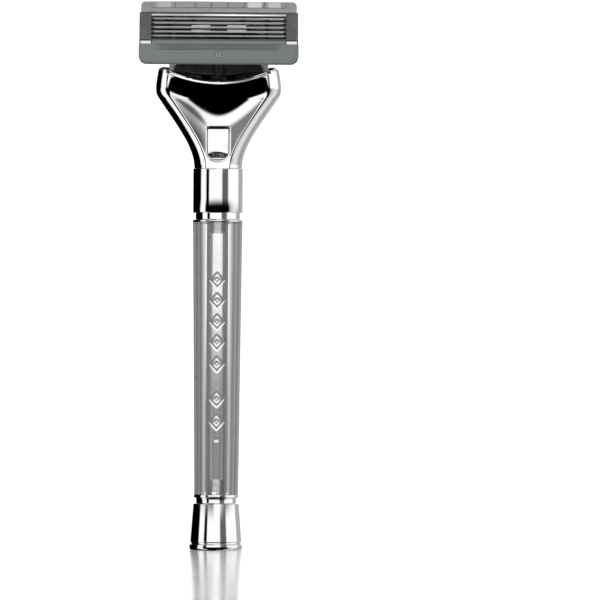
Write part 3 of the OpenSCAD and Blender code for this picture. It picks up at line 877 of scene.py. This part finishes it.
def grip_tube():
    """Tube with fine quads over the front, where the marks are, and coarse ones elsewhere."""
    first, last = DOT - 1.5, MARKS[-1] + 3
    heights = [grip_z[0], grip_z[0] + 0.12]
    heights += list(np.linspace(grip_z[0] + 0.5, first - 0.2, 8))
    heights += list(np.linspace(first, last, 310))
    heights += list(np.linspace(last + 0.4, grip_z[1] - 0.5, 8)) + [grip_z[1] - 0.12, grip_z[1]]
    fine = np.linspace(-20, 20, 46)
    angles = np.radians(np.concatenate([fine, np.linspace(20, 340, 66)[1:-1]]))
    loop = []
    for z in heights:
        inset = 0.12 if z in (heights[0], heights[-1]) else 0.0
        loop.append((grip_radius(z) - inset, z))
    loop += [(BORE_R, z) for z in np.linspace(grip_z[1], grip_z[0], 12)]
    rings = len(loop)
    points = [(r * math.sin(a), -r * math.cos(a), z) for a in angles for r, z in loop]
    faces = []
    for k in range(len(angles)):
        a, b = k * rings, ((k + 1) % len(angles)) * rings
        faces += [(a + i, b + i, b + (i + 1) % rings, a + (i + 1) % rings) for i in range(rings)]
    return piece("embossed-grip", points, faces, sharp=50)


def lozenge_marks():
    """Flat outlines of the marks on a plane in front of the grip, as edges."""
    points, edges = [], []

    def outline(corners):
        start = len(points)
        points.extend((x * MM, 0.0, z * MM) for x, z in corners)
        edges.extend((start + i, start + (i + 1) % len(corners)) for i in range(len(corners)))

    for z in MARKS:
        outline([(MARK_W / 2, z), (0, z + MARK_H / 2), (-MARK_W / 2, z), (0, z - MARK_H / 2)])
        outline([(0.5, z), (0, z + 0.55), (-0.5, z), (0, z - 0.55)])
    outline([(0.25 * math.cos(a), DOT + 0.25 * math.sin(a)) for a in np.linspace(0, 2 * math.pi, 9)[:-1]])
    mesh = bpy.data.meshes.new("marks")
    mesh.from_pydata(points, edges, [])
    made = bpy.data.objects.new("marks", mesh)
    scene.collection.objects.link(made)
    return made


def emboss_tree():
    """Raises the skin near a set of edges, measured flat from the front."""
    tree, given, out = node_group(
        "Emboss along edges", "GeometryNodeTree",
        [("Geometry", GEOMETRY, None), ("Marks", "NodeSocketObject", None), ("Stroke", FLOAT, 0.0006),
         ("Height", FLOAT, 0.00015)],
        [("Geometry", GEOMETRY)],
    )
    marks = node(tree, "GeometryNodeObjectInfo", {"Object": given["Marks"]}).outputs["Geometry"]
    at = node(tree, "GeometryNodeInputPosition").outputs[0]
    flat = vector_math(tree, "MULTIPLY", at, (1.0, 0.0, 1.0))[0]
    near = node(tree, "GeometryNodeProximity", {0: marks, "Sample Position": flat}, target_element="EDGES")
    half = times(tree, given["Stroke"], 0.5)
    rise = remap(tree, near.outputs["Distance"], half, 0.0, 0.0, 1.0)
    depth = node(tree, "ShaderNodeSeparateXYZ", {"Vector": at}).outputs["Y"]
    front = remap(tree, depth, -4.0 * MM, -5.0 * MM)
    amount = times(tree, rise, front)
    lift = times(tree, amount, given["Height"])
    normal = node(tree, "GeometryNodeInputNormal").outputs["Normal"]
    offset = node(tree, "ShaderNodeVectorMath", {0: normal, "Scale": lift}, operation="SCALE").outputs[0]
    raised = node(tree, "GeometryNodeSetPosition", {"Geometry": given["Geometry"], "Offset": offset})
    return finished(tree, raised.outputs[0], acrylic, out)


marks = lozenge_marks()
grip = grown("embossed-grip", emboss_tree(), {
    "Marks": marks, "Stroke": 0.8 * MM, "Height": 0.1 * MM,
}, base=grip_tube(), sharp=50)
bpy.data.objects.remove(marks)
fit(grip, "handle", acrylic, "grip")

# %% [markdown]
# Above the grip come a bead over a narrow groove, and a plain bright ferrule that hides the joint between
# the stud below and the head's spigot above. Both are turned.

# %% Bead and ferrule
ring_r, *ring_z = extent("collar_ring")
collar_r, *collar_z = extent("neck_collar")
STUD_BORE = 2.05
SPIGOT_R = 3.2
SPIGOT_H = 4.5

bead = turned("bead-ring", rounded(
    [
        (STUD_BORE, ring_z[0]), (ring_r, ring_z[0]), (ring_r, ring_z[0] + 0.65),
        (ring_r - 0.74, ring_z[0] + 0.65), (ring_r - 0.74, ring_z[1]), (STUD_BORE, ring_z[1]),
    ],
    [0, 0.2, 0.25, 0.12, 0, 0], steps=5), segments=192, sharp=50)
fit(bead, "handle", chrome, "collar_ring")

ferrule = turned("ferrule", rounded(
    [
        (STUD_BORE, collar_z[0]), (collar_r, collar_z[0]), (collar_r, collar_z[1]),
        (SPIGOT_R + 0.05, collar_z[1]), (SPIGOT_R + 0.05, collar_z[1] - SPIGOT_H),
        (STUD_BORE, collar_z[1] - SPIGOT_H),
    ],
    [0, 0.28, 0.16, 0.05, 0, 0], steps=5), segments=192, sharp=50)
fit(ferrule, "handle", chrome, "neck_collar")

# %% [markdown]
# The head is one plated casting that flares from the round neck into a fork. Its skin follows a rule: a
# half width, a front and a back for every height, with the middle of the front pressed in as a scoop
# between two rails. The same rule as the CAD's is used here with far more sections, so the plating has
# smooth reflections, and a line of points is kept on each crease between rail and scoop.

# %% Head
SEAM_Z = collar_z[1]
HORN_Z = 127.2
HEAD_HALF = 16.5
RAIL_W = 3.3
SCOOP_Z = 113
SCOOP_Y = -3.45
FLARE = [
    ([(6.3, SEAM_Z), (6.3, 106.5), (11.5, 112.5), (15.6, 118.8)], 70),
    ([(15.6, 118.8), (16.8, 120.2), (HEAD_HALF + 0.25, 121.6), (16.0, HORN_Z - 1.3)], 34),
    ([(16.0, HORN_Z - 1.3), (15.9, HORN_Z - 0.4), (15.5, HORN_Z), (14.6, HORN_Z)], 12),
]
RAIL_FRONT = [(SEAM_Z, -6.3), (108, -6.3), (118, -7.0), (HORN_Z, -6.9)]
HEAD_BACK = [(SEAM_Z, 6.3), (108, 6.0), (120, 7.2), (HORN_Z, 6.7)]
SQUARENESS = [(SEAM_Z, 2.0), (112, 2.4), (HORN_Z, 3.2)]


def bezier(p, t):
    p, t = [Vector(c) for c in p], float(t)
    return (1 - t) ** 3 * p[0] + 3 * t * (1 - t) ** 2 * p[1] + 3 * t * t * (1 - t) * p[2] + t ** 3 * p[3]


def between(stops, z):
    """Value between (position, value) stops, with soft ends to each stretch."""
    for (z0, v0), (z1, v1) in zip(stops, stops[1:]):
        if z <= z1:
            share = min(1.0, max(0.0, (z - z0) / (z1 - z0)))
            return v0 + (v1 - v0) * (1 - math.cos(math.pi * share)) / 2
    return stops[-1][1]


def bulge(z, t):
    power = between(SQUARENESS, z)
    return max(0.0, 1 - abs(t) ** power) ** (1 / power)


def rail_y(z, t):
    return between(RAIL_FRONT, z) * bulge(z, t)


def scoop_floor(z):
    return SCOOP_Y - (0.0215 if z < SCOOP_Z else 0.0165) * (z - SCOOP_Z) ** 2


def scoop_edge(half_w):
    return max(0.05, 1 - RAIL_W / half_w)


def front_y(half_w, z, t):
    edge = scoop_edge(half_w)
    if abs(t) >= edge:
        return rail_y(z, t)
    edge_y = rail_y(z, edge)
    floor_y = max(edge_y, scoop_floor(z), rail_y(z, 0))
    return edge_y + (floor_y - edge_y) * (1 - (t / edge) ** 2)


def head_half_width(z):
    """Half width of the head at a height, from its flare."""
    for curve, _ in FLARE:
        if z <= curve[3][1]:
            t = min(np.linspace(0, 1, 400), key=lambda s: abs(bezier(curve, s).y - z))
            return bezier(curve, t).x
    return HEAD_HALF


def head_body():
    """Closed skin of the head, without its openings."""
    edge_round = 0.5
    path = [bezier(curve, k / steps) for curve, steps in FLARE for k in range(steps)]
    path = [Vector((path[0].x - 0.12, SEAM_Z)), Vector((path[0].x, SEAM_Z + 0.14))] + path[1:]
    path.append(Vector((14.6, HORN_Z)))
    points = []
    for half_w, z in path:
        lost = max(0.0, z - (HORN_Z - edge_round))
        inset = edge_round - math.sqrt(max(0.0, edge_round ** 2 - lost ** 2))
        inset += 0.12 if z == SEAM_Z else 0.0
        edge = scoop_edge(half_w)
        back = [math.cos(a) for a in np.linspace(0, math.pi, 61)[:-1]]
        rail_end = math.acos(edge)
        front = [-math.cos(a) for a in np.linspace(0, rail_end, 16)[:-1]]
        front += list(np.linspace(-edge, edge, 49)[:-1])
        front += [math.cos(a) for a in np.linspace(rail_end, 0, 16)[:-1]]
        points += [(half_w * t, max(0.0, between(HEAD_BACK, z) * bulge(z, t) - inset), z) for t in back]
        points += [(half_w * t, min(0.0, front_y(half_w, z, t) + inset), z) for t in front]
    return piece("forked-head", points, skin(len(points), len(points) // len(path)), sharp=40)


def circle_outline(middle, radius, low_angle, high_angle, steps):
    angles = np.radians(np.linspace(low_angle, high_angle, steps))
    return [(middle[0] + radius * math.cos(a), middle[1] + radius * math.sin(a)) for a in angles]


def block(name, low, high, place):
    (x0, y0, z0), (x1, y1, z1) = low, high
    return across(name, [(y0, z0), (y1, z0), (y1, z1), (y0, z1)], x0, x1, place)


def plate_outline(half_w, low, high, corner_low, corner_high, steps=8):
    outline = [(half_w, low), (half_w, high), (-half_w, high), (-half_w, low)]
    return rounded(outline, [corner_low, corner_high, corner_high, corner_low], steps)


RIM_R = 33
RIM_Z = 123.4
BACK_RIM_R = 99
BACK_RIM_Z = 126.2
POCKET = [(9.0, -13.2), (11.6, -9.5), (13.1, -6.5), (13.1, 6.0)]
PLUNGER_Y = 1.2 * math.cos(math.radians(42)) + 2.6 * math.sin(math.radians(42))
pocket_y = (PLUNGER_Y - 5.2, PLUNGER_Y + 2.0)
BUTTON_HALF = 2.9
BUTTON_S = (-4.6, 4.5)
BORDER = 0.45

front_rim = circle_outline((0, RIM_Z + RIM_R), RIM_R, -128, -52, 121) + [(20.5, 140), (-20.5, 140)]
back_rim = circle_outline((0, BACK_RIM_Z + BACK_RIM_R), BACK_RIM_R, -102.5, -77.5, 61)
back_rim += [(21.4, 140), (-21.4, 140)]
button_hole = plate_outline(BUTTON_HALF + 0.1, BUTTON_S[0] - 0.1, BUTTON_S[1] + 0.2, 2.9, 0.2)
head = cut(
    head_body(),
    through("tool", front_rim, -12, -1, UPRIGHT),
    through("tool", back_rim, -2, 12, UPRIGHT),
    through("tool", mirrored_outline(POCKET), *pocket_y, IN_DOCK),
    through("tool", button_hole, -6, 1, IN_BUTTON),
    block("tool", (-3.1, 0.9, -4.9), (3.1, 3.4, 6.9), IN_BUTTON),
    block("tool", (-2.6, 1.5, 0), (2.6, 3.4, 13.6), IN_BUTTON),
    block("tool", (0.8, 1.5, 11), (4.6, 4, 16), IN_BUTTON),
    block("tool", (-4.6, 1.5, 11), (-0.8, 4, 16), IN_BUTTON),
)
print("head body", triangles(head))

# %% [markdown]
# The plating is thickest along the front rim, which is rolled into a bright round lip, and a narrow raised
# border frames the button. Both are part of the casting, so they are joined to the head's mesh.


# %% Rim lip, button border and spigot
def tube(name, path, section):
    """Bar along a path of points, closed at both ends. section is its outline, as (upward, forward)."""
    points = []
    for i, here in enumerate(path):
        ahead = (path[min(i + 1, len(path) - 1)] - path[max(i - 1, 0)]).normalized()
        side = ahead.cross(Vector((0, 1, 0))).normalized()
        up = ahead.cross(side)
        points += [here + u * side + v * up for u, v in section]
    return piece(name, points, skin(len(points), len(section)), sharp=50)


LIP_SIZE = (0.52, 0.26)
LIP_TILT = math.radians(22)
lip_path = []
for x in np.linspace(-13.6, 13.6, 91):
    z = RIM_Z + RIM_R - math.sqrt(RIM_R ** 2 - x ** 2) - LIP_SIZE[0] * 0.75
    half_w = head_half_width(z)
    lip_path.append(Vector((x, front_y(half_w, z, x / half_w) + LIP_SIZE[1] * 0.7, z)))
lip_box = [(sz * LIP_SIZE[0], sy * LIP_SIZE[1]) for sz, sy in ((1, 1), (1, -1), (-1, -1), (-1, 1))]
lip_section = [tuple(Matrix.Rotation(-LIP_TILT, 2) @ Vector(c)) for c in rounded(lip_box, 0.14, 3)]
lip = tube("lip", lip_path, lip_section)

border_outline = plate_outline(
    BUTTON_HALF + BORDER, BUTTON_S[0] - BORDER, BUTTON_S[1] + BORDER, 3.2, 0.5, steps=10)
inner_outline = plate_outline(BUTTON_HALF + 0.1, BUTTON_S[0] - 0.1, BUTTON_S[1] + 0.2, 2.9, 0.2, steps=10)
border = cut(
    through("border", border_outline, -0.3, 1.4, IN_BUTTON),
    through("tool", inner_outline, -6, 3, IN_BUTTON),
    block("tool", (-3.1, 0.9, -4.9), (3.1, 3.4, 6.9), IN_BUTTON),
)
border = rounded_edges(border, 0.13, segments=3)
spigot = turned("spigot", rounded(
    [(0, SEAM_Z - SPIGOT_H), (SPIGOT_R, SEAM_Z - SPIGOT_H), (SPIGOT_R, SEAM_Z + 1), (0, SEAM_Z + 1)],
    [0, 0.3, 0, 0]), segments=96)
head = joined("forked-head", [head, lip, border, spigot], sharp=40)
fit(head, "handle", chrome, "head_shell")

# %% [markdown]
# The release button slides up along the slope of the head's front. Its face is dished for the thumb: flat
# above, hollow below, and turned out into a lip at its lower edge. It is a loft of cross-sections along the
# slide, closed by a flat back.

# %% Release button
BUTTON_BACK = 1.6
LIP_PROFILE = [
    (0.0, 0.12), (0.22, -0.22), (0.5, -0.3), (0.8, -0.18), (1.5, 0.32), (2.3, 0.9), (2.9, 1.18), (3.6, 1.22),
    (5.0, 1.1), (6.4, 1.0), (9.1, 1.0), (12.0, 1.0),
]


def eased(stops, at):
    """Smooth curve through (position, value) stops."""
    positions = [p for p, _ in stops]
    values = [v for _, v in stops]
    slopes = np.gradient(values, positions)
    i = min(max(int(np.searchsorted(positions, at)) - 1, 0), len(stops) - 2)
    gap = positions[i + 1] - positions[i]
    t = min(max((at - positions[i]) / gap, 0.0), 1.0)
    return (
        (2 * t ** 3 - 3 * t ** 2 + 1) * values[i] + (t ** 3 - 2 * t ** 2 + t) * gap * slopes[i]
        + (3 * t ** 2 - 2 * t ** 3) * values[i + 1] + (t ** 3 - t ** 2) * gap * slopes[i + 1]
    )


def button_half(u):
    """Half width of the button at a height above its lower edge, with round lower corners."""
    corner = 2.8
    short = max(0.0, corner - u)
    return BUTTON_HALF - corner + math.sqrt(max(0.0, corner ** 2 - short ** 2))


def button_face():
    length = BUTTON_S[1] - BUTTON_S[0]
    edge = 0.22
    rows = np.concatenate([np.linspace(0.004, 1.6, 30)[:-1], np.linspace(1.6, length, 40)])
    points = []
    for u in rows:
        half = button_half(u)
        for t in np.linspace(-1, 1, 41):
            x = half * math.sin(t * math.pi / 2)
            near = max(0.0, edge - min(half - abs(x), length - u))
            x_share = (x / BUTTON_HALF) ** 2
            y = eased(LIP_PROFILE, u + 1.0 * x_share * min(1.0, max(0.0, (u - 0.8) / 1.2)))
            y += edge - math.sqrt(max(0.0, edge ** 2 - near ** 2))
            points.append((x, min(y, BUTTON_BACK - 0.05), BUTTON_S[0] + u))
        points += [(half, BUTTON_BACK, BUTTON_S[0] + u), (-half, BUTTON_BACK, BUTTON_S[0] + u)]
    return piece("thumb-button", points, skin(len(points), len(points) // len(rows)), IN_BUTTON, sharp=50)


fit(button_face(), "button", chrome, "release_button")

# %% [markdown]
# Behind the chrome sit the moulded black parts: the connector that fills the head's pocket, the forked
# ejector behind the button and the bridge that carries the cartridge. They are plain mouldings, so the CAD's
# own surfaces are kept and every edge is given the small radius that a mould leaves. The plunger is turned.

# %% Connector, ejector, bridge and plunger
fit(from_cad("dock-connector", "connector", 0.12), "handle", black_plastic, "connector")
fit(from_cad("ejector-fork", "ejector_slider", 0.1), "button", black_plastic, "ejector_slider")
fit(from_cad("pivot-bridge", "bridge_yoke", 0.12), "bridge", black_plastic, "bridge_yoke")

PLUNGER_R = 1.2
tip_z = 2.6 * math.cos(math.radians(42)) - PLUNGER_R * math.sin(math.radians(42)) - 0.08
plunger_foot = tip_z - 8.8
flange = (1.6, 0.8)
tip = [
    (PLUNGER_R * math.cos(a), tip_z + PLUNGER_R * math.sin(a)) for a in np.linspace(0, math.pi / 2, 13)[:-1]
]
plunger = turned("round-tip-plunger", [
    (0, plunger_foot - flange[1]), (flange[0] - 0.1, plunger_foot - flange[1]),
    (flange[0], plunger_foot - flange[1] + 0.1), (flange[0], plunger_foot - 0.1),
    (flange[0] - 0.1, plunger_foot), (PLUNGER_R, plunger_foot),
] + tip + [(0, tip_z + PLUNGER_R)], segments=48)
plunger.data.transform(
    Matrix.Translation(IN_DOCK.translation * MM) @ IN_DOCK.to_3x3().to_4x4()
    @ Matrix.Translation((0, PLUNGER_Y * MM, 0))
)
fit(plunger, "plunger", black_plastic, "plunger")

# %% [markdown]
# Two coil springs push back: one under the plunger, which returns the cartridge, and one above the button.
# Each is the wound tree again with a round wire and no core, set in its own frame.

# %% Coil springs
spring_tree = wound_tree("Coil spring", spring_wire, with_core=False)


def coil_spring(name, cad_node, frame_of, at, radius, wire, low, high, turns):
    place = frame_of @ Matrix.Translation(at)
    spring = grown(name, spring_tree, {
        "Radius": radius * MM, "Length": (high - low - 2 * wire) * MM, "Turns": float(turns),
        "Section": wire * MM, "Lift": (low + wire) * MM,
    }, place=place)
    fit(spring, "handle", spring_wire, cad_node)
    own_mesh(spring)


plunger_room = plunger_foot - flange[1] + 13.2
coil_spring(
    "plunger-coil", "plunger_spring", IN_DOCK, (0, PLUNGER_Y, 0), 1.25, 0.2,
    -13.18, -13.18 + plunger_room - 0.04, 6)
coil_spring(
    "button-coil", "button_spring", IN_BUTTON, (0, 2.4, 0), 0.65, 0.15,
    9.61, 13.59, 6)

# %% [markdown]
# The guard is the soft lower part of the face. Its corners are well rounded and its rim falls away in a
# bevel, so it is a grid whose depth depends on the distance to the rim. Four fine ribs, which stretch the
# skin, run along it: a Geometry Nodes tree repeats one rounded bar up the face.

# %% Guard
GUARD_HALF = extent("guard_pad")[0]
GUARD_TOP = 6.5
GUARD_T = 0.9
GUARD_CORNER = 2.4
BEVEL_W = 1.15
BEVEL_D = 0.4
RIB_HALF = 16.0
RIB_LOW = 3.9
RIB_PITCH = 0.42
RIB_BAND = (3.66, 5.34)


def guard_half(h):
    """Half width of the guard at a height: round corners below, a step for the clips above."""
    if h > 5.35:
        return 17.6
    short = max(0.0, GUARD_CORNER - h)
    return GUARD_HALF - GUARD_CORNER + math.sqrt(max(0.0, GUARD_CORNER ** 2 - short ** 2))


def rim_distance(x, h):
    """How far a point of the face is inside the guard's sides and lower edge."""
    dx, dh = GUARD_HALF - abs(x), h
    if dx < GUARD_CORNER and dh < GUARD_CORNER:
        return GUARD_CORNER - math.hypot(GUARD_CORNER - dx, GUARD_CORNER - dh)
    return min(dx, dh)


def guard_depth(x, h):
    inside = max(0.0, rim_distance(x, h))
    bevel = BEVEL_D * max(0.0, 1 - inside / BEVEL_W)
    roll = 0.28 * max(0.0, 1 - inside / 0.22) ** 2
    lip = 0.14 * max(0.0, 1 - (GUARD_TOP - h) / 0.14) ** 2
    sunk = 0.14 if RIB_BAND[0] < h < RIB_BAND[1] and abs(x) < RIB_HALF + 0.4 else 0.0
    return bevel + roll + lip + sunk


def guard_plate():
    rows = [0.002, 0.05, 0.12, 0.22, 0.35, 0.5, 0.7, 0.9, 1.05, 1.15, 1.3, 1.6, 2.0, 2.4]
    rows += [2.8, 3.3, 3.62, 3.7, 4.4, 5.0, 5.3, 5.345, 5.355, 5.8, 6.2, 6.36, 6.42, 6.46, GUARD_TOP]
    ends = [0, 0.06, 0.14, 0.22, 0.4, 0.7, 1.0, 1.15, 1.4, 1.8, 2.4, 3.2, 4.5, 4.7]
    points = []
    for h in rows:
        half = guard_half(h)
        xs = [-half + e for e in ends] + list(np.linspace(-half + 7, half - 7, 25))
        xs += [half - e for e in ends[::-1]]
        points += [(x, guard_depth(x, h), h) for x in xs]
        points += [(half, GUARD_T, h), (-half, GUARD_T, h)]
    return piece("guard-plate", points, skin(len(points), len(points) // len(rows)), IN_FACE, sharp=28)


def rib_tree():
    """Row of rounded bars along X, repeated up Z."""
    tree, given, out = node_group(
        "Repeated ribs", "GeometryNodeTree",
        [("Half length", FLOAT, 0.016), ("Radius", FLOAT, 0.0001), ("First", VECTOR, (0, 0, 0)),
         ("Pitch", VECTOR, (0, 0, 0.0004)), ("Count", "NodeSocketInt", 4)],
        [("Geometry", GEOMETRY)],
    )
    seats = node(tree, "GeometryNodeMeshLine", {
        "Count": given["Count"], "Start Location": given["First"], "Offset": given["Pitch"],
    }).outputs["Mesh"]
    far = node(tree, "ShaderNodeCombineXYZ", {"X": given["Half length"]}).outputs[0]
    near = vector_math(tree, "MULTIPLY", far, (-1, -1, -1))[0]
    line = node(tree, "GeometryNodeCurvePrimitiveLine", {"Start": near, "End": far}).outputs["Curve"]
    fine = node(tree, "GeometryNodeResampleCurve", {"Curve": line, "Count": 33}).outputs["Curve"]
    share = node(tree, "GeometryNodeSplineParameter").outputs["Factor"]
    # The bar's radius drops to a quarter over the last three hundredths of its length at each end, which
    # rounds both ends
    middle = apart(tree, share, 0.5)
    taper = remap(tree, middle, 0.5, 0.47, 0.25, 1.0)
    ring = node(tree, "GeometryNodeCurvePrimitiveCircle", {"Resolution": 16, "Radius": given["Radius"]})
    bar = node(tree, "GeometryNodeCurveToMesh", {
        "Curve": fine, "Profile Curve": ring.outputs["Curve"], "Fill Caps": True, "Scale": taper,
    }).outputs["Mesh"]
    rows = node(tree, "GeometryNodeInstanceOnPoints", {"Points": seats, "Instance": bar}).outputs[0]
    return finished(tree, rows, guard_rubber, out)


ribs = grown("ribs", rib_tree(), {
    "Half length": RIB_HALF * MM, "Radius": 0.13 * MM, "First": (0, 0.13 * MM, RIB_LOW * MM),
    "Pitch": (0, 0, RIB_PITCH * MM), "Count": 4,
}, place=IN_FACE)
mark_ring = tube("mark", [
    (IN_FACE @ Vector((0.55 * math.cos(a), 0.05, 2.3 + 0.55 * math.sin(a))))
    for a in np.linspace(0, 2 * math.pi, 33)
], circle_outline((0, 0), 0.1, 0, 315, 8))
guard = joined("ribbed-guard", [guard_plate(), ribs, mark_ring], sharp=28)
fit(guard, "cartridge", guard_rubber, "guard_pad")

# %% [markdown]
# The frame of the cartridge is one grey moulding with side plates, ribs and pivot ears, and the cap closes
# it along the top with a slanted recess for the strip. Both keep the CAD's surfaces with moulded edges.

# %% Frame, cap and strip
fit(from_cad("cartridge-body", "cartridge_frame", 0.14), "cartridge", grey_plastic, "cartridge_frame")
fit(from_cad("top-cap", "cap", 0.16, segments=3), "cartridge", cap_plastic, "cap")
fit(from_cad("smooth-strip", "lubricating_strip", 0.05), "cartridge", gel, "lubricating_strip")

# %% [markdown]
# A bright metal strap goes through each end plate to hold the blades down. Its tab shows in front, where a
# flat strip is folded over, and its leg runs up behind.

# %% Clips
for clip_side in ("left", "right"):
    clip = from_cad("folded-clip-" + clip_side, "clip_" + clip_side, 0.07, segments=3)
    fit(clip, "cartridge", bright_clip, "clip_" + clip_side)

# %% [markdown]
# Five thin blades with ground edges lean forward in the window. Each is welded along a bent steel strip that
# stands in the frame's slots, and two of the strips have small tabs between the blades.

# %% Blades and their supports
for number in range(1, 6):
    blade = from_cad(f"ground-blade-{number}", f"blade_{number}", 0.012, angle=40)
    if number == 5:
        land = rounded_edges(block("land", (-17.7, 0.3, 13.55), (17.7, 0.42, 14.15), IN_FACE), 0.02)
        blade = joined(blade.name + "-with-land", [blade, land])
    fit(blade, "cartridge", blade_steel, f"blade_{number}")
    support = from_cad(f"bent-support-{number}", f"blade_support_{number}", 0.04)
    fit(support, "cartridge", support_steel, f"blade_support_{number}")

# %% [markdown]
# The size of this visual model is printed in millimetres; the CAD's box was printed when the frame was
# loaded.

# %% Size and finish
low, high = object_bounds()
print("size in millimetres", [round((b - a) / MM, 2) for a, b in zip(low, high)])
